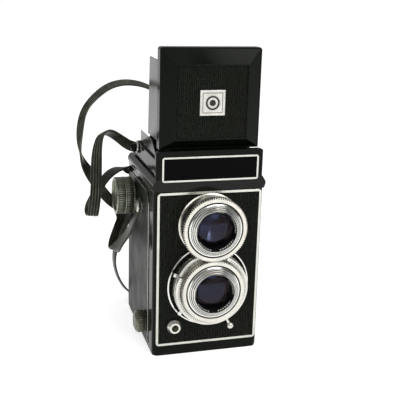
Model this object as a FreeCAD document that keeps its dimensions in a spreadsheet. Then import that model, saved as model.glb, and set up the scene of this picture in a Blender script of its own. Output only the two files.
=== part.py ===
import FreeCAD, Part
import math
import os
import re

import Sketcher

os.makedirs("parts", exist_ok=True)

V = FreeCAD.Vector
doc = FreeCAD.newDocument("twin_lens_reflex_camera")

# Driving dimensions in millimetres.  +Z is up, the lenses look along -Y, the wind knob is on -X.
# The origin is the mouth of the tripod bush, in the middle of the flat base.
DIMENSIONS = {
    # body casting and its rear door
    "body_w": 76, "body_d": 88, "base_t": 1.5, "seam_z": 117.6, "wall": 2.5, "floor_z": 3,
    "corner_r": 4, "rear_t": 4.5, "door_half_w": 33.5, "door_z0": 8.5, "door_z1": 112.5,
    "door_t": 2.4, "rebate_gap": 0.35, "port_half_w": 31.5, "port_z0": 11, "port_z1": 110,
    "hinge_pin_r": 1, "door_hinge_y": 45.9, "door_hinge_z": 8.6, "knuckle_r": 1.7,
    # front plate with its bright border, and the smooth panels on the sides
    "plate_t": 0.8, "rib_pitch": 1.2, "rib_depth": 0.3, "trim_half_w": 36, "trim_z0": 7.9,
    "trim_z1": 117.2, "trim_w": 1.6, "trim_t": 1.1, "trim_corner_r": 2.5,
    "side_t": 0.5, "side_y0": -28.5, "side_z0": 3, "side_z1": 113,
    # shoulder plate and the base of the finder hood
    "bulge_x": 39.3, "bulge_z": 121.6, "shoulder_half_w": 36.7, "shoulder_z": 125.8,
    "well_half_w": 34.1, "hood_half_w": 35.3, "rim_z": 137, "hood_rear_y": 31.2,
    "brow_half_w": 36.8, "brow_z": 144.5, "brow_t": 4.8, "name_half_w": 33, "name_z0": 124.2,
    "name_z1": 140.9, "name_trim_w": 1.15,
    # lens axes: their distance is twice the pitch radius of the geared focusing rings
    "view_z": 94.3, "take_z": 50.9, "ring_front": 15.5, "tip_r": 22.05, "ring_teeth": 90,
    "skirt_r": 20.9, "sleeve_r": 17, "running": 0.05, "view_flange_r": 21.7,
    "take_flange_r": 28.7, "shutter_r": 25.6, "shutter_front": 9.6, "glass_r": 12.1,
    "lever_a0": 6.4, "lever_a1": 7.8,
    # film transport
    "wind_y": 20, "wind_z": 99, "wind_r": 13.6, "supply_y": -19, "supply_z": 16,
    "supply_knob_r": 8, "spool_r": 12.4, "core_r": 5.5, "spool_half_l": 31, "shaft_r": 3,
    "film_y": 36, "frame_half": 28,
    # folding hood
    "lid_half_w": 34, "lid_y": -38.6, "lid_z0": 144.8, "lid_z1": 210.7, "lid_depth": 7,
    "skin": 1, "lid_rise": 4.5, "panel_half_w": 23.7, "panel_z0": 152.2, "panel_z1": 199.4,
    "hinge_y": -37, "hinge_z": 142.7, "pin_r": 0.8, "wing_x": 32.55, "wing_y": -31.1,
    "wing_w": 32.1, "sheet_t": 0.6, "leaf_x": 33.45, "leaf_z": 135.3, "leaf_h": 11.5,
    "flap_y": 22.5, "flap_z": 134.1, "flap_h": 12.5, "screen_z": 123, "ledge_z": 130.4,
    "loupe_y": -34.6, "loupe_z": 197,
    # neck strap, as the round cord with the section area of the flat band
    "strap_r": 2,
}

sheet = doc.addObject("Spreadsheet::Sheet", "dims")
for row, (alias, number) in enumerate(DIMENSIONS.items(), start=1):
    sheet.set(f"A{row}", alias)
    sheet.set(f"B{row}", str(number))
    sheet.setAlias(f"B{row}", alias)
doc.recompute()

WORD = re.compile(r"[a-z][a-z_0-9]*")
TURNS = {
    "+Z": FreeCAD.Rotation(),
    "-Z": FreeCAD.Rotation(V(1, 0, 0), 180),
    "+X": FreeCAD.Rotation(V(0, 0, 1), V(1, 0, 0)),
    "-X": FreeCAD.Rotation(V(0, 0, 1), V(-1, 0, 0)),
    "+Y": FreeCAD.Rotation(V(0, 0, 1), V(0, 1, 0)),
    "-Y": FreeCAD.Rotation(V(0, 0, 1), V(0, -1, 0)),
}
FRONT_Y = "-body_d/2"
PITCH_R = "(view_z - take_z)/2"


def formula(text):
    """A size as the sheet's formula: each alias in it becomes a reference to its cell."""
    return WORD.sub(lambda m: "dims." + m[0] if m[0] in DIMENSIONS else m[0], str(text))


def value(text):
    """A size as a number, for the few outlines that are worked out in code."""
    return float(sheet.evalExpression(formula(text)))


def bind(item, field, text):
    item.setExpression(field, formula(text))


def place(item, at, turn="+Z"):
    rotation = TURNS[turn] if isinstance(turn, str) else turn
    item.Placement = FreeCAD.Placement(V(0, 0, 0), rotation)
    for axis, text in zip("xyz", at):
        bind(item, f"Placement.Base.{axis}", text)
    return item


# ---------------------------------------------------------------- building blocks

def box(x, y, z, label=None):
    """A block between pairs of bounds along each axis."""
    item = doc.addObject("Part::Box", label or "block")
    for field, (low, high) in zip(("Length", "Width", "Height"), (x, y, z)):
        bind(item, field, f"({high}) - ({low})")
    place(item, (x[0], y[0], z[0]))
    return finish(item, label)


def rod(radius, length, at, turn="+Z", label=None, angle=360):
    """A cylinder, or a sector of one, from a point along a direction."""
    item = doc.addObject("Part::Cylinder", label or "rod")
    bind(item, "Radius", radius)
    bind(item, "Height", length)
    item.Angle = angle
    place(item, at, turn)
    return finish(item, label)


def ball(radius, at, turn="+Z", label=None):
    item = doc.addObject("Part::Sphere", label or "ball")
    bind(item, "Radius", radius)
    place(item, at, turn)
    return finish(item, label)


def cone(low_r, high_r, length, at, turn="+Z", label=None):
    item = doc.addObject("Part::Cone", label or "cone")
    bind(item, "Radius1", low_r)
    bind(item, "Radius2", high_r)
    bind(item, "Height", length)
    place(item, at, turn)
    return finish(item, label)


def join(items, label=None):
    item = doc.addObject("Part::MultiFuse", label or "join")
    item.Shapes = items
    return finish(item, label)


def cut(base, tools, label=None):
    item = doc.addObject("Part::Cut", label or "cut")
    item.Base = base
    item.Tool = tools[0] if len(tools) == 1 else join(tools)
    return finish(item, label)


def common(first, second, label=None):
    item = doc.addObject("Part::Common", label or "common")
    item.Base = first
    item.Tool = second
    return finish(item, label)


def group(items, label):
    """Identical pieces kept apart as separate solids of one node."""
    item = doc.addObject("Part::Compound", label)
    item.Links = items
    return finish(item, label)


def rounded(base, radius, wanted, label=None):
    """A fillet on the edges for which wanted(edge) is true."""
    doc.recompute()
    item = doc.addObject("Part::Fillet", label or "rounded")
    item.Base = base
    r = value(radius)
    numbers = [n for n, edge in enumerate(base.Shape.Edges, start=1) if wanted(edge)]
    item.Edges = [(n, r, r) for n in numbers]
    return finish(item, label)


def along(edge, axis):
    """True for a straight edge that runs along an axis."""
    if not isinstance(edge.Curve, Part.Line):
        return False
    return abs(abs(getattr(edge.Curve.Direction, axis)) - 1) < 1e-6


PARTS = []


def finish(item, label):
    if label:
        item.Label = label
        PARTS.append(item)
    return item


def sketch_on(body, role, name):
    sketch = body.newObject("Sketcher::SketchObject", name)
    plane = [f for f in body.Origin.OriginFeatures if f.Role == role][0]
    sketch.AttachmentSupport = [(plane, "")]
    sketch.MapMode = "FlatFace"
    return sketch


def outline(sketch, points):
    """A closed polygon whose corners are tied to the sheet, one distance per coordinate."""
    first = sketch.GeometryCount
    spots = [V(value(a), value(b), 0) for a, b in points]
    count = len(spots)
    for n in range(count):
        sketch.addGeometry(Part.LineSegment(spots[n], spots[(n + 1) % count]), False)
    for n, (a, b) in enumerate(points):
        here, after = first + n, first + (n + 1) % count
        sketch.addConstraint(Sketcher.Constraint("Coincident", here, 2, after, 1))
        for kind, text in (("DistanceX", a), ("DistanceY", b)):
            number = sketch.addConstraint(Sketcher.Constraint(kind, -1, 1, here, 1, value(text)))
            bind(sketch, f"Constraints[{number}]", text)


def turned(profile, at, turn, label=None):
    """A lathe-turned piece: (radius, distance) corners, turned about the direction of turn."""
    body = doc.addObject("PartDesign::Body", label or "turned")
    sketch = sketch_on(body, "XZ_Plane", body.Name + "_profile")
    outline(sketch, profile)
    feature = body.newObject("PartDesign::Revolution", body.Name + "_turn")
    feature.Profile = sketch
    feature.ReferenceAxis = (sketch, ["V_Axis"])
    feature.Angle = 360
    body.Tip = feature
    place(body, at, turn)
    return finish(body, label)


def padded(points, role, length, at, label=None):
    """A flat piece: an outline on one of the origin planes, padded to a length."""
    body = doc.addObject("PartDesign::Body", label or "padded")
    sketch = sketch_on(body, role, body.Name + "_outline")
    outline(sketch, points)
    feature = body.newObject("PartDesign::Pad", body.Name + "_pad")
    feature.Profile = sketch
    bind(feature, "Length", length)
    body.Tip = feature
    place(body, at)
    return finish(body, label)


def both_sides(name, make):
    """The same piece on the left (-X) and the right (+X)."""
    return [make(f"{name}_{side}", sign) for side, sign in (("left", "-1"), ("right", "1"))]


def span(sign, low, high):
    """Bounds along X on one side: from low to high outwards, mirrored for the left side."""
    return (low, high) if sign == "1" else (f"-({high})", f"-({low})")


def lens_axis(height):
    return ("0", FRONT_Y, height)


def ribs(x0, x1, z0, z1, front_y, thick, label):
    """A sheet whose front has fine vertical ribs, as one comb-shaped outline extruded upwards."""
    left, right = value(x0), value(x1)
    low, high = value(z0), value(z1)
    front = value(front_y)
    back = front + value(thick)
    count = int((right - left) / value("rib_pitch"))
    pitch = (right - left) / count
    deep = front + value("rib_depth")
    comb = [V(right, back, low), V(left, back, low)]
    for n in range(count):
        start = left + n * pitch
        comb += [V(start, deep, low), V(start + 0.3 * pitch, front, low), V(start + 0.8 * pitch, front, low)]
    comb.append(V(right, deep, low))
    face = Part.Face(Part.makePolygon(comb + [comb[0]]))
    item = doc.addObject("Part::Feature", label)
    item.Shape = face.extrude(V(0, 0, high - low))
    return item


# ---------------------------------------------------------------- body casting

def body_casting():
    solid = box(("-body_w/2", "body_w/2"), (FRONT_Y, "body_d/2"), ("base_t", "seam_z"))
    solid = rounded(solid, "corner_r", lambda e: along(e, "z") and e.CenterOfMass.y < 0)
    solid = rounded(solid, "corner_r/2", lambda e: along(e, "z") and e.CenterOfMass.y > 0)
    room = box(("wall - body_w/2", "body_w/2 - wall"), ("wall - body_d/2", "body_d/2 - rear_t"),
               ("floor_z", "seam_z + 1"))
    rebate = box(("-door_half_w - rebate_gap", "door_half_w + rebate_gap"),
                 ("body_d/2 - door_t - 0.2", "body_d/2 + 1"),
                 ("door_z0 - 0.3", "door_z1 + rebate_gap"))
    sill = box(("-door_half_w - rebate_gap", "door_half_w + rebate_gap"), ("body_d/2 - 1", "body_d/2 + 1"),
               ("door_z0 - 2.4", "door_z0"))
    port = box(("-port_half_w", "port_half_w"), ("body_d/2 - rear_t - 1", "body_d/2 + 1"),
               ("port_z0", "port_z1"))
    through = [
        rod("sleeve_r + 0.6", "wall + 2", ("0", f"{FRONT_Y} - 1", "view_z"), "+Y"),
        rod("20.1", "wall + 2", ("0", f"{FRONT_Y} - 1", "take_z"), "+Y"),
        rod("3.1", "wall + 2", ("-23.3", f"{FRONT_Y} - 1", "21.7"), "+Y"),
        rod("7.05", "floor_z + 2", ("0", "0", "-1")),
    ]
    for y, z in (("wind_y", "wind_z"), ("supply_y", "supply_z")):
        through.append(rod("shaft_r + running", "body_w + 4", ("-body_w/2 - 2", y, z), "+X"))
    shell = cut(solid, [room, rebate, sill, port] + through)
    lug = rod("knuckle_r", "20", ("-10", "door_hinge_y", "door_hinge_z"), "+X")
    foot = box(("-10", "10"), ("body_d/2 - 1", "door_hinge_y"), ("door_hinge_z - 1.5", "door_hinge_z - 0.4"))
    root = box(("-10", "10"), ("body_d/2 - 2", "body_d/2 + 0.4"), ("door_z0 - 4", "door_hinge_z - 0.5"))
    lug_bore = rod("hinge_pin_r + running", "80", ("-40", "door_hinge_y", "door_hinge_z"), "+X")
    pivot = turned([("0", "spool_half_l - 3.2"), ("shaft_r - 0.05", "spool_half_l - 3.2"),
                    ("shaft_r - 0.05", "body_w/2 - 1"), ("4.6", "body_w/2 - 1"), ("4.6", "body_w/2 + 1.4"),
                    ("0", "body_w/2 + 1.4")], ("0", "supply_y", "supply_z"), "+X")
    join([shell, cut(join([lug, foot, root]), [lug_bore]), pivot], "body_shell")


def base_and_bush():
    plate = box(("0.3 - body_w/2", "body_w/2 - 0.3"), ("0.3 - body_d/2", "body_d/2 - 0.3"), ("0", "base_t"))
    plate = rounded(plate, "corner_r", lambda e: along(e, "z"))
    holes = [rod("7.05", "4", ("0", "0", "-1"))]
    for x in ("-31", "31"):
        for y in ("-37", "37"):
            holes.append(cone("2.1", "1.1", "1.1", (x, y, "-0.02")))
    cut(plate, holes, "base_plate")
    screws = []
    for x in ("-31", "31"):
        for y in ("-37", "37"):
            head = cone("1.95", "1", "0.95", (x, y, "0.1"))
            slot = box((f"{x} - 2", f"{x} + 2"), (f"{y} - 0.25", f"{y} + 0.25"), ("0", "0.5"))
            screws.append(cut(head, [slot]))
    group(screws, "base_screws")
    bush = turned([("3.2", "0"), ("7", "0"), ("7", "7"), ("3.2", "7")], ("0", "0", "0"), "+Z")
    join([bush, rod("7", "1.2", ("0", "0", "7"))], "tripod_bush")


def front_plate_and_trim():
    sheet_metal = ribs("trim_w - trim_half_w", "trim_half_w - trim_w", "trim_z0 + trim_w",
                       "trim_z1 - trim_w", f"{FRONT_Y} - plate_t", "plate_t", "ribbed_sheet")
    y = f"{FRONT_Y} - 2"
    holes = [rod("sleeve_r + 0.6", "4", ("0", y, "view_z"), "+Y"), rod("20.1", "4", ("0", y, "take_z"), "+Y"),
             rod("3.1", "4", ("-23.3", y, "21.7"), "+Y")]
    cut(sheet_metal, holes, "front_plate")
    outer = box(("-trim_half_w", "trim_half_w"), (f"{FRONT_Y} - trim_t", FRONT_Y), ("trim_z0", "trim_z1"))
    outer = rounded(outer, "trim_corner_r", lambda e: along(e, "y"))
    inner = box(("trim_w - trim_half_w", "trim_half_w - trim_w"), (f"{FRONT_Y} - 3", "0"),
                ("trim_z0 + trim_w", "trim_z1 - trim_w"))
    cut(outer, [inner, view_clearance("view_flange_r + 0.05")], "front_trim")


def side_panel(label, sign):
    plate = box(span(sign, "body_w/2", "body_w/2 + side_t"), ("side_y0", "body_d/2 - 2"), ("side_z0", "side_z1"))
    plate = rounded(plate, "7", lambda e: along(e, "x") and e.CenterOfMass.y < 0 and e.CenterOfMass.z > 50)
    holes = []
    for radius, y, z in (("shaft_r + 0.3", "wind_y", "wind_z"), ("4.65", "supply_y", "supply_z")):
        holes.append(rod(radius, "body_w + 4", ("-body_w/2 - 2", y, z), "+X"))
    return cut(plate, holes)


def shoulder_and_hood_base():
    """The rounded shoulder above the seam, and the well of the finder hood standing on it."""
    half = [("body_w/2", "seam_z"), ("bulge_x", "bulge_z"), ("shoulder_half_w", "shoulder_z")]
    points = half + [(f"-({a})", b) for a, b in reversed(half)]
    ridge = padded(points, "XZ_Plane", "body_d", ("0", "body_d/2", "0"))
    ridge = rounded(ridge, "3.2", lambda e: along(e, "y") and abs(abs(e.CenterOfMass.x) - value("bulge_x")) < 0.1)
    ridge = rounded(ridge, "2.6", lambda e: along(e, "x") and e.CenterOfMass.y > 40 and e.CenterOfMass.z > 120)
    well = box(("-29", "29"), ("-37.5", "20.5"), ("seam_z - 1", "shoulder_z + 1"))
    seat = box(("-31", "31"), ("-39.5", "22.5"), ("screen_z", "shoulder_z + 1"))
    name_bed = box(("-name_half_w", "name_half_w"), (f"{FRONT_Y} - 1", f"{FRONT_Y} + 0.5"), ("name_z0", "name_z1"))
    cut(ridge, [well, seat, name_bed], "shoulder_plate")

    brow = box(("-brow_half_w", "brow_half_w"), (FRONT_Y, f"{FRONT_Y} + brow_t"), ("shoulder_z", "brow_z"))
    brow = rounded(brow, "2.2", lambda e: along(e, "y") and e.CenterOfMass.z > 140 or
                   along(e, "z") and e.CenterOfMass.y < -42)
    walls = box(("-hood_half_w", "hood_half_w"), (f"{FRONT_Y} + 2", "hood_rear_y"), ("shoulder_z", "rim_z"))
    walls = rounded(walls, "3", lambda e: along(e, "z") and e.CenterOfMass.y > 0)
    hollow = box(("-well_half_w", "well_half_w"), (f"{FRONT_Y} + brow_t", "hood_rear_y - 1.4"),
                 ("ledge_z", "rim_z + 20"))
    light = box(("-29", "29"), ("-37.5", "20.5"), ("shoulder_z - 1", "rim_z"))
    latch_hole = rod("2.05", "4", ("-well_half_w + 1", "22", "133.8"), "-X")
    ears = []
    for sign in ("-1", "1"):
        ear = box(span(sign, "26.2", "29.2"), (f"{FRONT_Y} + brow_t", "hinge_y + 1.3"), ("rim_z", "hinge_z + 1.2"))
        ears.append(ear)
    pin_hole = rod("pin_r + running", "70", ("-35", "hinge_y", "hinge_z"), "+X")
    case = cut(join([brow, walls]), [hollow, light, name_bed, latch_hole])
    collar = turned([("3.05", "well_half_w + 0.2"), ("3.7", "well_half_w + 0.2"), ("3.7", "hood_half_w + 1.1"),
                     ("3.05", "hood_half_w + 1.1")], ("0", "22", "133.8"), "-X")
    cut(join([case, collar] + ears), [pin_hole], "hood_base")
    group([rod("pin_r", "58.4", ("-29.2", "hinge_y", "hinge_z"), "+X"),
           rod("hinge_pin_r", "60", ("-30", "door_hinge_y", "door_hinge_z"), "+X")], "hinge_pins")


def nameplate():
    bed = (f"{FRONT_Y} - 0.1", f"{FRONT_Y} + 0.5")
    box(("name_trim_w - name_half_w", "name_half_w - name_trim_w"), bed,
        ("name_z0 + name_trim_w", "name_z1 - name_trim_w"), "nameplate")
    outer = box(("-name_half_w", "name_half_w"), (f"{FRONT_Y} - 0.7", f"{FRONT_Y} + 0.5"), ("name_z0", "name_z1"))
    outer = rounded(outer, "1.6", lambda e: along(e, "y"))
    inner = box(("name_trim_w - name_half_w", "name_half_w - name_trim_w"), (f"{FRONT_Y} - 2", "0"),
                ("name_z0 + name_trim_w", "name_z1 - name_trim_w"))
    cut(outer, [inner], "nameplate_trim")


# ---------------------------------------------------------------- finder and film path inside

def finder_inside():
    box(("-30.5", "30.5"), ("-39", "22"), ("screen_z", "screen_z + 1.8"), "ground_glass")
    tilt = FreeCAD.Rotation(V(1, 0, 0), 45)
    mirror = box(("-29", "29"), ("0", "60"), ("0", "1.6"), "mirror")
    place(mirror, ("-29", "-35", "69.6"), tilt)
    half = "body_w/2 - wall"
    holder = box((f"-({half})", half), ("0", "63"), ("0", "1.2"), "mirror_holder")
    place(holder, (f"-({half})", "-34.2", "66.6"), tilt)


def film_gate_and_rollers():
    plate = box(("-33", "33"), ("film_y - 1.4", "film_y"), ("take_z - 36", "take_z + 30"))
    gate = box(("-frame_half", "frame_half"), ("film_y - 3", "film_y + 3"),
               ("take_z - frame_half", "take_z + frame_half"))
    cut(plate, [gate], "film_gate")
    rollers = []
    for y, z in (("film_y - 2.6", "take_z + 33.4"), ("film_y - 3.4", "take_z - 39")):
        rollers.append(rod("2.4", "66", ("-33", y, z), "+X"))
    group(rollers, "film_rollers")


def spool(label, y, z, half_length):
    core = turned([("0", f"-({half_length})"), ("spool_r", f"-({half_length})"),
                   ("spool_r", f"1 - ({half_length})"), ("core_r", f"1 - ({half_length})"),
                   ("core_r", f"{half_length} - 1"), ("spool_r", f"{half_length} - 1"),
                   ("spool_r", half_length), ("0", half_length)], ("0", y, z), "+X")
    socket = rod("shaft_r + running", "3.5", (f"{half_length} - 3.4", y, z), "+X")
    far_socket = rod("shaft_r + running", "3.5", (f"3.4 - ({half_length})", y, z), "-X")
    cut(core, [socket, far_socket], label)


def wind_knob():
    """A two-tier knurled knob on the shaft that drives the take-up spool."""
    face = "body_w/2"
    profile = [("0", f"{face} + 13.7"), ("10.6", f"{face} + 13.7"), ("11.4", f"{face} + 15.2"),
               ("12.9", f"{face} + 15.2"), ("wind_r", f"{face} + 14.2"), ("wind_r", f"{face} + 9.2"),
               ("wind_r - 0.7", f"{face} + 8.6"), ("wind_r", f"{face} + 8"),
               ("wind_r", f"{face} + 2.8"), ("wind_r - 0.6", f"{face} + 2.2"), ("9", f"{face} + 2.2"),
               ("9", f"{face} + 0.8"), ("shaft_r", f"{face} + 0.8"), ("shaft_r", "spool_half_l - 3.2"), ("0", "spool_half_l - 3.2")]
    turned(profile, ("0", "wind_y", "wind_z"), "-X", "wind_knob")


def spool_knob(label, y, z, radius, turn):
    """A knob on a pin that is pulled out to free one end of a spool."""
    face = "body_w/2"
    turned([("0", "spool_half_l - 3.2"), ("shaft_r", "spool_half_l - 3.2"), ("shaft_r", f"{face} + 0.8"),
            (radius, f"{face} + 0.8"), (radius, f"{face} + 6"), (f"{radius} - 2.6", f"{face} + 8"),
            ("0", f"{face} + 8")], ("0", y, z), turn, label)


def strap_stud(label, sign):
    """A round-headed post that a strap end buttons on to."""
    turn = "+X" if sign == "1" else "-X"
    return turned([("0", "body_w/2 + 0.5"), ("4.5", "body_w/2 + 0.5"), ("4.5", "body_w/2 + 1.3"),
                   ("2", "body_w/2 + 1.3"), ("2", "body_w/2 + 3"), ("4.4", "body_w/2 + 3"),
                   ("4.4", "body_w/2 + 3.6"), ("3.4", "body_w/2 + 4.4"), ("0", "body_w/2 + 4.4")],
                  ("0", "-6", "97.7"), turn)


# ---------------------------------------------------------------- lenses and shutter

def viewing_mount():
    turned([("13.5", "-3"), ("sleeve_r + 0.5", "-3"), ("sleeve_r + 0.5", "plate_t"), ("view_flange_r", "plate_t"),
            ("view_flange_r", "plate_t + 0.9"), ("skirt_r", "plate_t + 1.5"), ("skirt_r", "5"),
            ("sleeve_r", "5"), ("sleeve_r", "10.6"), ("13.5", "10.6")],
           lens_axis("view_z"), "-Y", "viewing_lens_mount")


def rear_glasses():
    upper = turned([("0", "-1.6"), ("13.4", "-1.6"), ("13.4", "1.4"), ("0", "2.8")], lens_axis("view_z"), "-Y")
    lower = turned([("0", "-2.4"), ("11.9", "-2.4"), ("11.9", "0.4"), ("0", "1.8")], lens_axis("take_z"), "-Y")
    group([upper, lower], "rear_glasses")


def tooth_gaps(height, start):
    """The spaces between the teeth of a focusing ring: one tapered cutter, repeated round the axis."""
    teeth = int(value("ring_teeth"))
    step = 360 / teeth
    pitch_r = value(PITCH_R)
    tip, root = value("tip_r") + 0.3, pitch_r - 0.5
    quarter = math.pi * pitch_r / (2 * teeth)
    low_half, tip_half = quarter - 0.5 * math.tan(math.radians(20)), quarter + 0.65 * math.tan(math.radians(20))
    backlash = 0.07
    gap = [V(root, -low_half - backlash, 0), V(tip, -tip_half - backlash, 0),
           V(tip, tip_half + backlash, 0), V(root, low_half + backlash, 0)]
    prism = Part.Face(Part.makePolygon(gap + [gap[0]])).extrude(V(0, 0, 4))
    cutters = []
    for n in range(teeth):
        copy = prism.copy()
        copy.rotate(V(0, 0, 0), V(0, 0, 1), start + n * step)
        cutters.append(copy)
    item = doc.addObject("Part::Feature", "tooth_gaps")
    item.Shape = Part.makeCompound(cutters)
    item.Placement = FreeCAD.Placement(V(0, value(FRONT_Y) - 12, value(height)), TURNS["-Y"])
    return item


def focusing_ring(label, height, skirt_start, web_start, tooth_phase):
    blank = turned([("sleeve_r + running", skirt_start), ("skirt_r", skirt_start), ("skirt_r", "12.3"),
                    ("tip_r - 0.4", "12.3"), ("tip_r", "12.6"), ("tip_r", "ring_front - 0.4"),
                    ("tip_r - 0.4", "ring_front"), ("19.1", "ring_front"), ("19.1", "ring_front - 1"),
                    ("14", "ring_front - 1"), ("14", web_start), ("sleeve_r + running", web_start)],
                   lens_axis(height), "-Y")
    cut(blank, [tooth_gaps(height, tooth_phase)], label)


def bezel(label, height):
    """The bright collar round the front glass, stepped outwards in fine ridges."""
    steps = 5
    low_r, high_r = 18.6, 13.7
    low_a, high_a = 15.4, 18.7
    profile = [("glass_r + 0.1", "11.2"), ("13.9", "11.2"), ("13.9", "14.55"), (str(low_r), "14.55")]
    for n in range(steps):
        r = low_r - (low_r - high_r) * n / steps
        a = low_a + (high_a - low_a) * n / steps
        profile += [(f"{r:.2f}", f"{a:.2f}"), (f"{r - 0.5:.2f}", f"{a + 0.45:.2f}")]
    profile += [(str(high_r), str(high_a)), ("13.3", str(high_a)), ("glass_r + 0.1", "15")]
    turned(profile, lens_axis(height), "-Y", label)


def front_glass(label, height):
    """A thick front element, flat behind and domed in front."""
    disc = rod("glass_r", "4.2", ("0", f"{FRONT_Y} - 11.6", height), "-Y")
    dome = ball("28", ("0", f"{FRONT_Y} - 15.8 + 28", height))
    common(disc, dome, label)


def view_clearance(radius):
    return rod(radius, "30", ("0", f"{FRONT_Y} + 5", "view_z"), "-Y")


def shutter():
    ring = turned([("take_flange_r - 1", "plate_t"), ("take_flange_r", "plate_t"), ("take_flange_r", "2.2"),
                   ("take_flange_r - 0.3", "2.5"), ("take_flange_r - 1", "2.5")], lens_axis("take_z"), "-Y")
    cut(ring, [view_clearance("view_flange_r + 0.1")], "shutter_flange")
    case = turned([("12", "-3"), ("20", "-3"), ("20", "1.4"), ("shutter_r", "1.4"), ("shutter_r", "lever_a0 - 0.2"),
                   ("23.4", "lever_a0 - 0.2"), ("23.4", "lever_a1 + 0.2"), ("shutter_r", "lever_a1 + 0.2"),
                   ("shutter_r", "shutter_front - 0.4"), ("shutter_r - 0.4", "shutter_front"),
                   ("sleeve_r", "shutter_front"), ("sleeve_r", "10.8"), ("12", "10.8"), ("12", "6.2"),
                   ("18.5", "6.2"), ("18.5", "3"), ("12", "3")], lens_axis("take_z"), "-Y")
    cut(case, [view_clearance("view_flange_r + 0.3")], "shutter_housing")
    blades("shutter_blades", 5, "0", "17.6", "3.4")
    blades("aperture_blades", 8, "7", "17.8", "4.7")


def blades(label, count, inner_r, outer_r, start):
    """Thin leaves that meet edge to edge round the lens axis, each a separate sector."""
    leaves = []
    step = 360 / count
    for n in range(count):
        turn = TURNS["-Y"].multiply(FreeCAD.Rotation(V(0, 0, 1), n * step))
        at = ("0", f"{FRONT_Y} - {start}", "take_z")
        leaf = rod(outer_r, "0.3", at, turn, angle=step - 1)
        if inner_r != "0":
            hole = rod(inner_r, "2", ("0", f"{FRONT_Y} - {start} + 1", "take_z"), "-Y")
            leaf = cut(leaf, [hole])
        leaves.append(leaf)
    group(leaves, label)


def sector_ring(inner_r, outer_r, start, thick, middle, width):
    """Part of a flat ring about the taking lens; angles run from +X towards +Z, seen from the front."""
    turn = FreeCAD.Rotation(V(0, 1, 0), -(middle - width / 2)).multiply(FreeCAD.Rotation(V(1, 0, 0), 90))
    piece = rod(outer_r, thick, ("0", f"{FRONT_Y} - ({start})", "take_z"), turn, angle=width)
    hole = rod(inner_r, "30", ("0", f"{FRONT_Y} + 5", "take_z"), "-Y")
    return cut(piece, [hole])


def radial(angle, radius):
    """A point at an angle and a distance from the taking axis, as two formulas."""
    across, up = math.cos(math.radians(angle)), math.sin(math.radians(angle))
    return f"({radius})*({across:.5f})", f"take_z + ({radius})*({up:.5f})"


def spoke(angle, radius, start_r, length, depth):
    x, z = radial(angle, start_r)
    up = FreeCAD.Rotation(V(0, 0, 1), V(math.cos(math.radians(angle)), 0, math.sin(math.radians(angle))))
    return rod(radius, length, (x, f"{FRONT_Y} - ({depth})", z), up)


def setting_levers():
    middle = "(lever_a0 + lever_a1)/2"
    for label, angle in (("aperture_lever", 156), ("cocking_lever", 218)):
        arc = sector_ring("23.5", "25.5", "lever_a0", "lever_a1 - lever_a0", angle, 12)
        tab = sector_ring("24", "28.1", "lever_a0", "lever_a1 - lever_a0", angle, 5)
        tip = spoke(angle, "0.9", "25.4", "2.9", middle)
        join([arc, tab, tip], label)
    angle = 297.5
    arc = sector_ring("23.5", "25.5", "lever_a0", "lever_a1 - lever_a0", angle, 10)
    x, z = radial(angle, "33")
    knob = ball("2.4", (x, f"{FRONT_Y} - ({middle})", z))
    join([arc, spoke(angle, "0.9", "24.5", "8", middle), knob], "release_lever")


def speed_ring():
    """An open setting ring in front of the shutter; its gap clears the viewing lens over the whole travel."""
    plate = turned([("22.6", "shutter_front + 0.3"), ("25.3", "shutter_front + 0.3"),
                    ("25.3", "11.4"), ("24.9", "11.8"), ("22.6", "11.8")], lens_axis("take_z"), "-Y")
    opening, travel = 25, 40
    wedge = sector_ring("10", "40", "shutter_front - 1", "5", 90 + travel / 2, 2 * opening + travel)
    cut(plate, [wedge], "speed_ring")


def flash_socket():
    x, z = "-23.3", "21.7"
    turned([("2.5", "-1.5"), ("3", "-1.5"), ("3", "plate_t"), ("5.35", "plate_t"), ("5.2", "2"), ("3.7", "4.6"),
            ("2.5", "4.6")], (x, FRONT_Y, z), "-Y", "flash_socket")
    turned([("0", "-2.6"), ("3", "-2.6"), ("3", "-1.5"), ("0", "-1.5")], (x, FRONT_Y, z), "-Y", "flash_contact")


# ---------------------------------------------------------------- rear door

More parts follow.
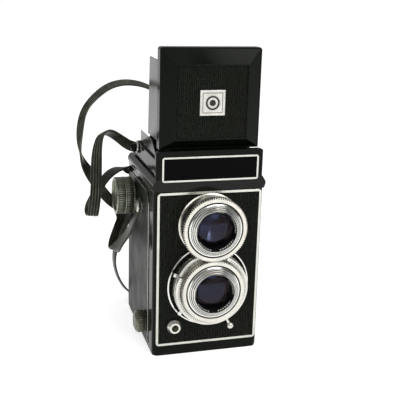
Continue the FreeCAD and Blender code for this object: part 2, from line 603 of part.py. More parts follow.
def rear_door():
    leaf = box(("-door_half_w", "door_half_w"), ("body_d/2 - door_t", "body_d/2"), ("door_z0", "door_z1"))
    leaf = rounded(leaf, "1.5", lambda e: along(e, "y"))
    window = rod("4.05", "10", ("0", "38", "30"), "+Y")
    knuckles = []
    for low, high in (("-30", "-10.3"), ("10.3", "30")):
        knuckles.append(rod("knuckle_r", f"({high}) - ({low})", (low, "door_hinge_y", "door_hinge_z"), "+X"))
        knuckles.append(box((low, high), ("body_d/2 - 0.6", "door_hinge_y"), ("door_hinge_z + 0.3", "door_hinge_z + 1.6")))
    bore = rod("hinge_pin_r + running", "80", ("-40", "door_hinge_y", "door_hinge_z"), "+X")
    pivot_hole = rod("1.02", "3", ("8.2", "body_d/2 - 2", "30"), "+Y")
    cut(join([leaf] + knuckles), [window, bore, pivot_hole], "rear_cover")
    rod("4", "door_t - 0.6", ("0", "body_d/2 - door_t", "30"), "+Y", "red_window")

    box(("-29", "29"), ("film_y + 0.9", "film_y + 1.9"), ("take_z - 31", "take_z + 31"), "pressure_plate")
    coils = []
    for x in ("-18", "18"):
        for z in ("take_z - 18", "take_z + 18"):
            coils.append(turned([("2", "0"), ("2.8", "0"), ("2.8", "body_d/2 - door_t - film_y - 1.9"),
                                 ("2", "body_d/2 - door_t - film_y - 1.9")], (x, "film_y + 1.9", z), "+Y"))
    group(coils, "pressure_springs")

    cover = rod("5.4", "0.8", ("0", "body_d/2 + 0.35", "30"), "+Y")
    arm = box(("0", "8.2"), ("body_d/2 + 0.35", "body_d/2 + 1.15"), ("27.8", "32.2"))
    eye = rod("2.2", "0.8", ("8.2", "body_d/2 + 0.35", "30"), "+Y")
    pivot = rod("1", "2.6", ("8.2", "body_d/2 - 1.2", "30"), "+Y")
    grip = rod("1.2", "1.4", ("-3", "body_d/2 + 1.1", "30"), "+Y")
    join([cover, arm, eye, pivot, grip], "red_window_cover")

    catch = box(("-8", "8"), ("body_d/2 + 0.3", "body_d/2 + 2.4"), ("103", "108.5"))
    rounded(catch, "0.8", lambda e: e.CenterOfMass.y > value("body_d/2 + 2.3"), "back_latch")


# ---------------------------------------------------------------- folding hood

def hood_lid():
    tray = box(("-lid_half_w", "lid_half_w"), ("lid_y", "lid_y + lid_depth"), ("lid_z0", "lid_z1"))
    tray = rounded(tray, "2", lambda e: along(e, "y") and e.CenterOfMass.z > 200)
    hollow = box(("skin - lid_half_w", "lid_half_w - skin"), ("lid_y + skin", "lid_y + lid_depth + 1"),
                 ("lid_z0 + skin", "lid_z1 - skin"))
    rise = doc.addObject("Part::Wedge", "mitred_rise")
    flat = {"Xmin": "-lid_half_w + 1", "Xmax": "lid_half_w - 1", "Zmin": "lid_z0 + 1", "Zmax": "lid_z1 - 1",
            "Ymin": "-lid_y", "Ymax": "lid_rise - lid_y", "X2min": "-panel_half_w - 0.8",
            "X2max": "panel_half_w + 0.8", "Z2min": "panel_z0 - 0.8", "Z2max": "panel_z1 + 0.8"}
    for field, text in flat.items():
        bind(rise, field, text)
    rise.Placement = FreeCAD.Placement(V(0, 0, 0), FreeCAD.Rotation(V(0, 0, 1), 180))
    bed = box(("-panel_half_w", "panel_half_w"), ("lid_y - lid_rise - 1", "lid_y - lid_rise + 1"),
              ("panel_z0", "panel_z1"))
    scoop = box(("-panel_half_w", "panel_half_w"), ("lid_y - lid_rise + 2", "lid_y + 2"), ("panel_z0", "panel_z1"))
    knuckle = rod("1.6", "51.6", ("-25.8", "hinge_y", "hinge_z"), "+X")
    web = box(("-25.8", "25.8"), ("lid_y + 0.4", "hinge_y"), ("hinge_z", "lid_z0 + 0.5"))
    bore = rod("pin_r + running", "70", ("-35", "hinge_y", "hinge_z"), "+X")
    shell = cut(join([tray, rise]), [hollow, bed, scoop])
    lugs = []
    for sign in ("-1", "1"):
        lugs.append(box(span(sign, "15.3", "17.3"), ("lid_y + skin - 0.2", "loupe_y + 1.4"), ("loupe_z - 1.5", "loupe_z + 1.5")))
    loupe_bore = rod("0.6 + running", "40", ("-20", "loupe_y", "loupe_z"), "+X")
    cut(join([shell, knuckle, web] + lugs), [bore, loupe_bore], "hood_lid")

    panel = ribs("-panel_half_w", "panel_half_w", "panel_z0", "panel_z1", "lid_y - lid_rise + 0.3", "0.7", "lid_sheet")
    badge_bed = box(("-8.6", "8.6"), ("lid_y - lid_rise - 1", "lid_y - lid_rise + 0.7"), ("167.3", "184.1"))
    cut(panel, [badge_bed], "lid_panel")
    badge = box(("-8.5", "8.5"), ("lid_y - lid_rise - 0.5", "lid_y - lid_rise + 0.7"), ("167.4", "184"))
    rounded(badge, "0.4", lambda e: e.CenterOfMass.y < value("lid_y - lid_rise - 0.4"), "lid_badge")


def wing(label, sign):
    """A tall side of the hood, hinged to the edge of the lid."""
    points = [("wing_y", "148.5"), ("wing_y + wing_w", "148.5"), ("wing_y + wing_w", "150"),
              ("wing_y + wing_w - 4", "201.5"), ("wing_y", "201.5")]
    middle = span(sign, "wing_x", "wing_x")[0]
    sheet_metal = padded(points, "YZ_Plane", "sheet_t", (f"{middle} - sheet_t/2", "0", "0"))
    join([sheet_metal, rod("0.45", "53", (middle, "wing_y", "148.5"))], label)


def side_leaf(label, sign):
    """A low side of the hood, hinged to the base; its front slopes to clear the falling wing."""
    points = [("hinge_y + 5", "leaf_z"), ("flap_y - 0.8", "leaf_z"), ("flap_y - 0.8", "leaf_z + leaf_h"),
              ("hinge_y + 22.5", "leaf_z + leaf_h"), ("hinge_y + 5", "leaf_z + 1.2")]
    middle = span(sign, "leaf_x", "leaf_x")[0]
    sheet_metal = padded(points, "YZ_Plane", "sheet_t - 0.2", (f"{middle} - sheet_t/2 + 0.1", "0", "0"))
    barrel = rod("0.35", "flap_y - hinge_y - 5.8", (middle, "hinge_y + 5", "leaf_z"), "+Y")
    join([sheet_metal, barrel], label)


def rear_flap():
    points = [("-32.6", "flap_z"), ("32.6", "flap_z"), ("32.6 - 0.75*flap_h", "flap_z + flap_h"),
              ("0.75*flap_h - 32.6", "flap_z + flap_h")]
    sheet_metal = padded(points, "XZ_Plane", "sheet_t", ("0", "flap_y + sheet_t/2", "0"))
    join([sheet_metal, rod("0.4", "65.2", ("-32.6", "flap_y", "flap_z"), "+X")], "hood_rear_flap")


def loupe():
    plate = box(("-14", "14"), ("loupe_y - 1", "loupe_y + 1"), ("loupe_z - 29", "loupe_z + 0.3"))
    plate = rounded(plate, "3", lambda e: along(e, "y") and e.CenterOfMass.z < 180)
    hinge = rod("1.4", "28", ("-14", "loupe_y", "loupe_z"), "+X")
    opening = rod("11.05", "10", ("0", "loupe_y - 5", "loupe_z - 15"), "+Y")
    pin = rod("0.6", "34.4", ("-17.2", "loupe_y", "loupe_z"), "+X")
    join([cut(join([plate, hinge]), [opening]), pin], "magnifier_frame")
    disc = rod("11", "3.2", ("0", "loupe_y - 1.6", "loupe_z - 15"), "+Y")
    dome = ball("22", ("0", "loupe_y + 1.6 - 22", "loupe_z - 15"))
    common(disc, dome, "magnifier_lens")


def hood_button():
    """A round-headed button whose stem runs in the wall of the hood base."""
    stem = rod("2", "3.3", ("0.3 - hood_half_w", "22", "133.8"), "-X")
    head = ball("2.9", ("-hood_half_w - 2.9", "22", "133.8"), "-X")
    join([stem, head], "hood_release_button")


# ---------------------------------------------------------------- neck strap

STRAP_ROUTE = [
    # from the left stud down into the first loop
    (-41.3, -6, 92.5), (-44.7, -4, 84.3), (-46.3, 2, 76), (-51.5, 11, 64), (-54, 22, 55),
    (-52.8, 33, 57.9), (-48.5, 39, 67.2), (-43.4, 43.5, 75.6), (-47.2, 42, 83.8),
    # out past the wind knob and up into the great loop
    (-57.5, 33, 94.9), (-68.8, 24, 112.1), (-77.5, 22, 128), (-77, 28, 143.9), (-73.1, 36, 158.6),
    (-63, 45, 167.9), (-51.1, 50, 175.2), (-36.9, 54, 177.1), (-20.4, 56, 173.3), (-6, 58, 163),
    # down behind the hood and back over the shoulder
    (4, 57, 149), (4, 51, 136), (-7, 42, 130), (-23, 38, 128.6), (-38, 37, 131), (-47, 33, 138.3),
    (-55.4, 26, 144.7), (-62.6, 18, 146.1),
    # the flat hanging stretch, its turn, and the return to the body's rear edge
    (-66.6, 12, 137.8), (-68, 8, 124.4), (-68.7, 5, 107.9), (-70.5, 3, 94.6), (-71.3, 7, 87.2),
    (-72.8, 14, 90.8), (-68.7, 16, 99.7), (-61.5, 20, 110.6), (-53.5, 27, 115.6), (-44.2, 38, 115.4),
    # down behind the rear edge, out to the side and on to the floor
    (-35.6, 48.8, 111.5), (-34.8, 50, 99.7), (-34.9, 50, 86.9), (-38, 49, 76), (-45.1, 48, 56.3),
    (-49.5, 48.5, 41.2), (-46.7, 51, 25.3), (-38.9, 56, 9.8), (-29, 61, 3), (-12, 66, 2.5), (8, 69, 2.5),
    (27, 66, 2.5),
    # up the other side to the right stud
    (42, 56, 3.2), (50, 43, 12), (51, 29, 27), (49.5, 17, 44), (47, 7, 61), (43.6, -2, 78),
    (41.3, -6, 92.5),
]


def strap():
    """A cord of straight runs joined by tangent arcs, each as large as its two runs allow."""
    points = [V(*point) for point in STRAP_ROUTE]
    edges, radii = [], []
    start = points[0]
    for before, corner, after in zip(points, points[1:], points[2:]):
        arriving, leaving = (corner - before), (after - corner)
        shorter = min(arriving.Length, leaving.Length)
        back, ahead = (before - corner).normalize(), (after - corner).normalize()
        half_turn = (math.pi - back.getAngle(ahead)) / 2
        reach = 0.45 * shorter
        radius = reach / math.tan(half_turn)
        radii.append(radius)
        enter, leave = corner + back * reach, corner + ahead * reach
        middle_way = (back + ahead).normalize()
        centre = corner + middle_way * (radius / math.cos(half_turn))
        edges.append(Part.LineSegment(start, enter).toShape())
        edges.append(Part.Arc(enter, centre - middle_way * radius, leave).toShape())
        start = leave
    edges.append(Part.LineSegment(start, points[-1]).toShape())
    path = Part.Wire(edges)
    radius = value("strap_r")
    direction = points[1] - points[0]
    section = Part.Wire(Part.makeCircle(radius, points[0], direction))
    tube = path.makePipeShell([section], True, False)
    expected = math.pi * radius ** 2 * path.Length
    print(f"strap length {path.Length:.1f} mm, volume over section times length {tube.Volume / expected:.4f}")
    print("strap radii", " ".join(f"{r:.0f}" for r in radii))
    item = doc.addObject("Part::Feature", "neck_strap")
    item.Shape = tube
    return finish(item, "neck_strap")


# ---------------------------------------------------------------- assembly

body_casting()
base_and_bush()
front_plate_and_trim()
group(both_sides("side_panel", side_panel), "side_panels")
shoulder_and_hood_base()
nameplate()
finder_inside()
film_gate_and_rollers()
spool("take_up_spool", "wind_y", "wind_z", "spool_half_l")
spool("supply_spool", "supply_y", "supply_z", "spool_half_l")
wind_knob()
spool_knob("take_up_spool_knob", "wind_y", "wind_z", "supply_knob_r", "+X")
spool_knob("supply_spool_knob", "supply_y", "supply_z", "supply_knob_r", "-X")
group(both_sides("strap_stud", strap_stud), "strap_studs")
viewing_mount()
shutter()
rear_glasses()
for lens, height, start, web, phase in (("viewing", "view_z", "5.3", "10.9", 2.0), ("taking", "take_z", "10", "11.1", 0.0)):
    focusing_ring(f"{lens}_focus_ring", height, start, web, phase)
    bezel(f"{lens}_bezel", height)
    front_glass(f"{lens}_front_glass", height)
setting_levers()
speed_ring()
flash_socket()
rear_door()
hood_lid()
both_sides("hood_wing", wing)
both_sides("hood_side_leaf", side_leaf)
rear_flap()
loupe()
hood_button()
strap()

doc.recompute()
failed = [o.Name for o in doc.Objects if "Invalid" in o.State or "Error" in o.State]
if failed:
    raise SystemExit("failed objects: " + ", ".join(failed))
for part in PARTS:
    if part.Shape.isNull() or not part.Shape.isValid():
        raise SystemExit("bad shape: " + part.Label)
for part in PARTS:
    part.Shape.exportStep(f"parts/{part.Label}.step")
print(len(PARTS), "parts written")
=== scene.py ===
import math

import bmesh
import bpy
from mathutils import Matrix, Vector


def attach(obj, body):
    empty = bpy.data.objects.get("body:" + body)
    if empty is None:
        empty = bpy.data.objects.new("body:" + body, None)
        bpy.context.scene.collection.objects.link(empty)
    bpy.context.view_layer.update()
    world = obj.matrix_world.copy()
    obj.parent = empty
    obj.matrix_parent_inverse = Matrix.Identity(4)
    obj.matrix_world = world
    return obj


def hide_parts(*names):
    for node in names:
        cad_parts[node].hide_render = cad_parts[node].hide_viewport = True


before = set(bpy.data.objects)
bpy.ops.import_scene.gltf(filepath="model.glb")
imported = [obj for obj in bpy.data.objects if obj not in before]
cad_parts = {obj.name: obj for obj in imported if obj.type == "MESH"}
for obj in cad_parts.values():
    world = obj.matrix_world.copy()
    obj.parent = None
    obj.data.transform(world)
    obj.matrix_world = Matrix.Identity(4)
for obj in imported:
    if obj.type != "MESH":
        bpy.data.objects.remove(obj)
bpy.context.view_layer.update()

MM = 0.001
TAU = 2 * math.pi

# Places on the camera in millimetres: +Z is up and the lenses look along -Y.
FRONT_Y = -44.0
SIDE_X = 38.0
VIEW_Z, TAKE_Z = 94.3, 50.9
KNOB_Y, KNOB_Z = 20, 99
LOWER_KNOB_Y, LOWER_KNOB_Z = -19, 16
WING_X, WING_Y = 32.55, -31.1
LEAF_X, LEAF_Z = 33.45, 135.3
FLAP_Y, FLAP_Z = 22.5, 134.1
BUTTON_Y, BUTTON_Z = 22, 133.8
LID_PANEL_Y = -43.6
BADGE_Z = 175.7


# ---------------------------------------------------------------- camera

EYE = Vector((-0.14499, -0.51852, 0.25268))
YAW, PITCH, ROLL = 0.2832, 0.2788, 0.0280
LENS_MM = 69.72


def make_camera():
    forward = Vector((math.sin(YAW) * math.cos(PITCH), math.cos(YAW) * math.cos(PITCH), -math.sin(PITCH)))
    level = Vector((math.cos(YAW), -math.sin(YAW), 0))
    upright = level.cross(forward)
    right = level * math.cos(ROLL) + upright * math.sin(ROLL)
    up = upright * math.cos(ROLL) - level * math.sin(ROLL)
    data = bpy.data.cameras.new("camera")
    data.lens = LENS_MM
    data.sensor_width = 36
    data.clip_start = 0.01
    camera = bpy.data.objects.new("camera", data)
    camera.matrix_world = Matrix.Translation(EYE) @ Matrix((right, up, -forward)).transposed().to_4x4()
    bpy.context.scene.collection.objects.link(camera)
    bpy.context.scene.camera = camera


make_camera()


# ---------------------------------------------------------------- materials

class Paint:
    """One procedural material, built up a socket at a time."""

    def __init__(self, name, **sockets):
        self.material = bpy.data.materials.new(name)
        self.material.use_nodes = True
        self.tree = self.material.node_tree
        self.shader = self.tree.nodes["Principled BSDF"]
        self.place = self.add("ShaderNodeTexCoord").outputs["Object"]
        for socket, value in sockets.items():
            self.shader.inputs[socket.replace("_", " ").title().replace("Ior", "IOR")].default_value = value

    def add(self, kind, **settings):
        node = self.tree.nodes.new(kind)
        for key, value in settings.items():
            setattr(node, key, value)
        return node

    def feed(self, socket, source):
        if hasattr(source, "is_linked"):
            self.tree.links.new(source, socket)
        else:
            socket.default_value = source

    def noise(self, scale, detail):
        node = self.add("ShaderNodeTexNoise")
        self.feed(node.inputs["Vector"], self.place)
        node.inputs["Scale"].default_value = scale
        node.inputs["Detail"].default_value = detail
        return node.outputs["Fac"]

    def cells(self, scale):
        node = self.add("ShaderNodeTexVoronoi")
        self.feed(node.inputs["Vector"], self.place)
        node.inputs["Scale"].default_value = scale
        return node.outputs["Distance"]

    def sum(self, kind, a, b=0):
        node = self.add("ShaderNodeMath", operation=kind)
        self.feed(node.inputs[0], a)
        self.feed(node.inputs[1], b)
        return node.outputs[0]

    def spread(self, source, low, high, at_low, at_high):
        node = self.add("ShaderNodeMapRange")
        for socket, value in zip(node.inputs, (source, low, high, at_low, at_high)):
            self.feed(socket, value)
        return node.outputs[0]

    def blend(self, factor, a, b):
        node = self.add("ShaderNodeMix", data_type="RGBA")
        self.feed(node.inputs["Factor"], factor)
        self.feed(node.inputs[6], a)
        self.feed(node.inputs[7], b)
        return node.outputs[2]

    def axes(self):
        node = self.add("ShaderNodeSeparateXYZ")
        self.feed(node.inputs[0], self.place)
        return node.outputs

    def edges(self, radius):
        """A shading normal that rounds the sharp edges, and how far it leans from the flat one."""
        soft = self.add("ShaderNodeBevel", samples=6)
        soft.inputs["Radius"].default_value = radius
        flat = self.add("ShaderNodeNewGeometry").outputs["True Normal"]
        lean = self.add("ShaderNodeVectorMath", operation="DOT_PRODUCT")
        self.feed(lean.inputs[0], soft.outputs[0])
        self.feed(lean.inputs[1], flat)
        return soft.outputs[0], self.spread(lean.outputs["Value"], 1.0, 0.75, 0.0, 1.0)

    def relief(self, *layers, normal=None):
        """Bumps on bumps: each layer is a height and its depth in metres."""
        for height, depth in layers:
            node = self.add("ShaderNodeBump")
            node.inputs["Strength"].default_value = 1.0
            node.inputs["Distance"].default_value = depth
            self.feed(node.inputs["Height"], height)
            if normal is not None:
                self.feed(node.inputs["Normal"], normal)
            normal = node.outputs[0]
        self.feed(self.shader.inputs["Normal"], normal)

    def set(self, **sources):
        for socket, source in sources.items():
            self.feed(self.shader.inputs[socket.replace("_", " ").title()], source)


def rgb(*parts):
    return (*parts, 1.0)


def uneven(paint, colour):
    """A metal's colour, a little darker in cloudy patches."""
    cloud = paint.spread(paint.noise(120, 6), 0.35, 0.7, 0.0, 1.0)
    return paint.blend(cloud, rgb(*(0.86 * c for c in colour)), rgb(*colour))


def shade_in_corners(paint, reach, open_level, shut_level, most):
    """From 0 in the open to most in the corners, over the given reach in metres."""
    low = paint.add("ShaderNodeAmbientOcclusion", samples=6)
    low.inputs["Distance"].default_value = reach
    return paint.spread(low.outputs["AO"], open_level, shut_level, 0.0, most)


def lacquer(name, colour, smooth, dull, specular, worn=0.25, patch_low=0.45):
    """Enamel over metal: orange peel, hand smudges in the gloss, and a paler colour on its edges that is
    partly wear and partly painted highlight.
    """
    peel = 2e-6
    paint = Paint(name, specular_ior_level=specular)
    tone = paint.spread(paint.noise(45, 6), 0.3, 0.7, 0.75, 1.35)
    body = paint.blend(tone, rgb(0, 0, 0), rgb(*colour))
    normal, edge = paint.edges(0.00035)
    # Painted highlight and wear: the edges are blended, in patches, towards a pale grey.
    wear_and_highlight = paint.sum("MULTIPLY", edge, paint.spread(paint.noise(700, 5), patch_low, 0.75, 0.0, worn))
    paint.set(base_color=paint.blend(wear_and_highlight, body, rgb(0.26, 0.27, 0.22)))
    paint.set(roughness=paint.spread(paint.noise(26, 7), 0.35, 0.68, smooth, dull))
    paint.relief((paint.noise(900, 2), peel), (paint.noise(160, 2), peel * 4), normal=normal)
    return paint.material


def metal(name, colour, smooth, dull, corner_shade=0.0, depth=1.5e-6):
    """Plated or turned metal with fine scratches, uneven polish and painted shade that darkens its corners
    and recesses.
    """
    paint = Paint(name, metallic=1.0)
    tone = uneven(paint, colour)
    # Painted shade: the colour is darkened towards near black in corners and recesses, by ambient occlusion.
    if corner_shade:
        shade = shade_in_corners(paint, 0.0012, 0.95, 0.45, corner_shade)
        tone = paint.blend(shade, tone, rgb(0.035, 0.033, 0.028))
    paint.set(base_color=tone)
    paint.set(roughness=paint.spread(paint.noise(300, 5), 0.3, 0.7, smooth, dull))
    normal, _ = paint.edges(0.00018)
    paint.relief((paint.noise(2200, 3), depth), normal=normal)
    return paint.material


def lens_radii(paint):
    """The distances from the two lens axes, and the three coordinates."""
    x, y, z = paint.axes()
    radii = []
    for height in (VIEW_Z, TAKE_Z):
        up = paint.sum("SUBTRACT", z, height * MM)
        squares = paint.sum("ADD", paint.sum("MULTIPLY", x, x), paint.sum("MULTIPLY", up, up))
        radii.append(paint.sum("SQRT", squares))
    return radii, x, y, z


def within(paint, source, middle, reach):
    """1 where the source is within reach of the middle, and 0 elsewhere."""
    band = paint.sum("COMPARE", source, middle)
    band.node.inputs[2].default_value = reach
    return band


def toothed_metal(name, colour, smooth, dull):
    """Metal of the focusing rings, with painted shade in its corners and on the floors of the gaps between
    the teeth.
    """
    floor_r, floor_reach, teeth_back, teeth_front = 21.2, 0.35, 12.35, 15.4
    paint = Paint(name, metallic=1.0)
    radii, _, y, _ = lens_radii(paint)
    tone = uneven(paint, colour)
    # Painted shade: darker in corners by ambient occlusion, and near black on the floors of the gaps between
    # the teeth.
    shade = shade_in_corners(paint, 0.001, 0.8, 0.4, 0.75)
    forward = paint.sum("LESS_THAN", y, (FRONT_Y - teeth_back) * MM)
    short = paint.sum("GREATER_THAN", y, (FRONT_Y - teeth_front) * MM)
    toothed = paint.sum("MULTIPLY", forward, short)
    floors = []
    for radius in radii:
        floors.append(paint.sum("MULTIPLY", within(paint, radius, floor_r * MM, floor_reach * MM), toothed))
    painted_shade = paint.sum("MAXIMUM", shade, paint.sum("MULTIPLY", paint.sum("MAXIMUM", *floors), 0.8))
    paint.set(base_color=paint.blend(painted_shade, tone, rgb(0.03, 0.028, 0.024)))
    paint.set(roughness=paint.spread(paint.noise(300, 5), 0.3, 0.7, smooth, dull))
    paint.relief((paint.noise(2200, 3), 1.5e-6))
    return paint.material


def satin_panel():
    """The smooth covering of the sides."""
    paint = Paint("grey_satin_panel", specular_ior_level=0.05)
    tone = paint.spread(paint.noise(30, 5), 0.3, 0.7, 0.0, 1.0)
    paint.set(base_color=paint.blend(tone, rgb(0.009, 0.011, 0.008), rgb(0.016, 0.019, 0.014)))
    paint.set(roughness=paint.spread(paint.noise(60, 6), 0.35, 0.65, 0.30, 0.42))
    normal, _ = paint.edges(0.0003)
    paint.relief((paint.noise(1500, 3), 3e-6), normal=normal)
    return paint.material


def strap_skin():
    """Moulded strap: satin, finely grained, with a painted highlight on its ribs from the strap's crest
    attribute.
    """
    paint = Paint("strap_skin", specular_ior_level=0.22)
    tone = paint.spread(paint.noise(90, 6), 0.35, 0.7, 0.0, 1.0)
    skin = paint.blend(tone, rgb(0.0025, 0.0031, 0.0020), rgb(0.008, 0.009, 0.0065))
    crest = paint.add("ShaderNodeAttribute", attribute_name="crest").outputs["Fac"]
    # Painted highlight: the rib crests, and more faintly the smooth back, are blended towards a pale grey.
    crest_highlight = paint.sum("MULTIPLY", crest, paint.spread(paint.noise(160, 6), 0.35, 0.7, 0.35, 1.0))
    paint.set(base_color=paint.blend(crest_highlight, skin, rgb(0.12, 0.12, 0.09)))
    paint.set(roughness=paint.spread(paint.noise(120, 5), 0.3, 0.7, 0.26, 0.42))
    paint.relief((paint.cells(1900), 6e-6), (paint.noise(420, 4), 8e-6))
    return paint.material


def moulded(name, colour, dull):
    """Plain black plastic or paint."""
    paint = Paint(name, specular_ior_level=0.4)
    tone = paint.spread(paint.noise(150, 5), 0.35, 0.7, 0.0, 1.0)
    paint.set(base_color=paint.blend(tone, rgb(*(0.7 * c for c in colour)), rgb(*colour)))
    paint.set(roughness=paint.spread(paint.noise(210, 5), 0.3, 0.7, dull - 0.08, dull + 0.08))
    paint.relief((paint.noise(1800, 3), 4e-6))
    return paint.material


def coated_glass(name, tint, film):
    """Optical glass whose thin coating, film nanometres thick, gives a violet reflection."""
    paint = Paint(name, transmission_weight=1.0, ior=1.55, thin_film_thickness=film, thin_film_ior=1.38)
    paint.set(base_color=paint.blend(paint.noise(40, 3), rgb(*tint), rgb(*(0.93 * c for c in tint))))
    paint.set(roughness=paint.spread(paint.noise(90, 2), 0.3, 0.8, 0.012, 0.03))
    return paint.material


def clear_glass(name, tint, haze):
    """Uncoated glass, from clear to ground."""
    paint = Paint(name, transmission_weight=1.0, ior=1.5)
    paint.set(base_color=paint.blend(paint.noise(60, 3), rgb(*tint), rgb(*(0.9 * c for c in tint))))
    paint.set(roughness=paint.spread(paint.noise(900, 4), 0.3, 0.7, haze, haze * 1.3 + 0.01))
    return paint.material


def engraved_ring():
    """The matt black ring inside each bezel, with a broken circle of fine white strokes."""
    stroke_r, stroke_reach, strokes_round, words_round = 13.0, 0.3, 46, 5
    paint = Paint("engraved_ring", specular_ior_level=0.12)
    radii, x, _, z = lens_radii(paint)
    strokes = []
    for height, radius in zip((VIEW_Z, TAKE_Z), radii):
        angle = paint.sum("ARCTAN2", paint.sum("SUBTRACT", z, height * MM), x)
        band = within(paint, radius, stroke_r * MM, stroke_reach * MM)
        fine = paint.sum("GREATER_THAN", paint.sum("SINE", paint.sum("MULTIPLY", angle, strokes_round)), 0.1)
        words = paint.sum("GREATER_THAN", paint.sum("SINE", paint.sum("MULTIPLY", angle, words_round)), -0.5)
        strokes.append(paint.sum("MULTIPLY", band, paint.sum("MULTIPLY", fine, words)))
    marks = paint.sum("MAXIMUM", *strokes)
    paint.set(base_color=paint.blend(marks, rgb(0.003, 0.003, 0.003), rgb(0.50, 0.50, 0.46)))
    paint.set(roughness=paint.spread(paint.noise(400, 4), 0.3, 0.7, 0.3, 0.45))
    return paint.material


BLACK = lacquer("black_lacquer", (0.0018, 0.0032, 0.0013), 0.08, 0.20, 0.09)
SHOULDER_BLACK = lacquer("shoulder_black", (0.0022, 0.0034, 0.0018), 0.10, 0.24, 0.2)
SHEET_BLACK = lacquer("sheet_black", (0.006, 0.007, 0.005), 0.16, 0.30, 0.5, worn=0.5)
RIBBED = lacquer("ribbed_black", (0.0013, 0.0023, 0.0010), 0.22, 0.34, 0.05, worn=0.45, patch_low=0.25)
MATT = lacquer("matt_black", (0.003, 0.003, 0.003), 0.55, 0.75, 0.12, worn=0.0)
PLATE = lacquer("plate_black", (0.0015, 0.0016, 0.0015), 0.12, 0.2, 0.03, worn=0.0)
SIDE = satin_panel()
CHROME = metal("bright_chrome", (0.80, 0.80, 0.76), 0.10, 0.20, corner_shade=0.5)
TRIM = metal("trim_chrome", (0.60, 0.61, 0.56), 0.16, 0.30, corner_shade=0.6)
SILVER = metal("satin_silver", (0.68, 0.67, 0.62), 0.20, 0.34, corner_shade=0.85)
WARM = toothed_metal("warm_silver", (0.70, 0.68, 0.61), 0.22, 0.36)
OLIVE = metal("olive_metal", (0.29, 0.31, 0.24), 0.30, 0.46, corner_shade=0.95)
BRASS = metal("worn_brass", (0.17, 0.17, 0.13), 0.28, 0.46, corner_shade=0.95)
STEEL = metal("plain_steel", (0.62, 0.62, 0.60), 0.25, 0.4, corner_shade=0.5)
MIRROR = metal("silvering", (0.93, 0.93, 0.93), 0.01, 0.03, depth=1e-8)
SPOOL = moulded("spool_black", (0.03, 0.03, 0.028), 0.35)
BACKING = moulded("plate_steel_black", (0.025, 0.025, 0.025), 0.5)
STRAP = strap_skin()
ENGRAVED = engraved_ring()
LENS = coated_glass("lens_glass", (0.52, 0.54, 0.74), 117.0)
REAR_LENS = coated_glass("rear_lens_glass", (0.55, 0.55, 0.80), 120.0)
CLEAR = clear_glass("magnifier_glass", (0.95, 0.97, 0.95), 0.0)
SCREEN = clear_glass("ground_screen", (0.88, 0.90, 0.88), 0.28)
RED = clear_glass("red_filter", (0.60, 0.03, 0.02), 0.08)
BLACK_MARK = moulded("mark_black", (0.012, 0.012, 0.012), 0.45)

CAD_FINISH = [
    (BLACK, "body_shell hood_base hood_lid rear_cover base_plate hood_release_button"),
    (SHOULDER_BLACK, "shoulder_plate"),
    (SHEET_BLACK, "hood_wing_left hood_wing_right hood_side_leaf_left hood_side_leaf_right hood_rear_flap"),
    (SHEET_BLACK, "magnifier_frame"),
    (RIBBED, "front_plate lid_panel"),
    (PLATE, "nameplate"),
    (MATT, "mirror_holder film_gate shutter_blades aperture_blades"),
    (BACKING, "pressure_plate"),
    (SIDE, "side_panels"),
    (TRIM, "front_trim nameplate_trim"),
    (CHROME, "shutter_flange aperture_lever cocking_lever"),
    (SILVER, "release_lever lid_badge flash_socket shutter_housing speed_ring strap_studs"),
    (SILVER, "red_window_cover back_latch"),
    (WARM, "viewing_focus_ring taking_focus_ring viewing_lens_mount"),
    (BRASS, "tripod_bush flash_contact"),
    (STEEL, "base_screws hinge_pins film_rollers pressure_springs"),
    (SPOOL, "supply_spool take_up_spool"),
    (LENS, "viewing_front_glass taking_front_glass"),
    (REAR_LENS, "rear_glasses"),
    (CLEAR, "magnifier_lens"),
    (SCREEN, "ground_glass"),
    (RED, "red_window"),
    (MIRROR, "mirror"),
]
for finish, names in CAD_FINISH:
    for name in names.split():
        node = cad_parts[name]
        node.data.materials.clear()
        node.data.materials.append(finish)


# ---------------------------------------------------------------- mesh helpers

def piece(name, points, faces, finish, body, slot, sharp=35, replaced=()):
    """A mesh from points in millimetres, smooth but for its sharp edges, riding on a CAD body."""
    mesh = bpy.data.meshes.new(name)
    mesh.from_pydata([Vector(p) * MM for p in points], [], faces)
    work = bmesh.new()
    work.from_mesh(mesh)
    bmesh.ops.remove_doubles(work, verts=work.verts, dist=1e-7)
    bmesh.ops.recalc_face_normals(work, faces=work.faces)
    work.to_mesh(mesh)
    work.free()
    mesh.polygons.foreach_set("use_smooth", [True] * len(mesh.polygons))
    mesh.set_sharp_from_angle(angle=math.radians(sharp))
    mesh.materials.append(finish)
    item = bpy.data.objects.new(name, mesh)
    bpy.context.scene.collection.objects.link(item)
    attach(item, body)
    if replaced:
        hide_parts(*replaced)
    return item


def lathe(profile, origin, along, segments=128, relief=(0,)):
    """A closed profile of (radius, distance[, depth]) turned about an axis.  A ring with a depth is cut
    by the repeating relief pattern, one value per segment."""
    along = Vector(along)
    side = along.orthogonal().normalized()
    other = along.cross(side)
    origin = Vector(origin)
    points, faces = [], []
    rows = len(profile)
    for n in range(segments):
        angle = TAU * n / segments
        spoke = side * math.cos(angle) + other * math.sin(angle)
        for radius, distance, *depth in profile:
            if depth:
                radius -= depth[0] * relief[n % len(relief)]
            points.append(origin + along * distance + spoke * radius)
    for n in range(segments):
        here, after = n * rows, (n + 1) % segments * rows
        for k in range(rows):
            m = (k + 1) % rows
            faces.append((here + k, here + m, after + m, after + k))
    return points, faces


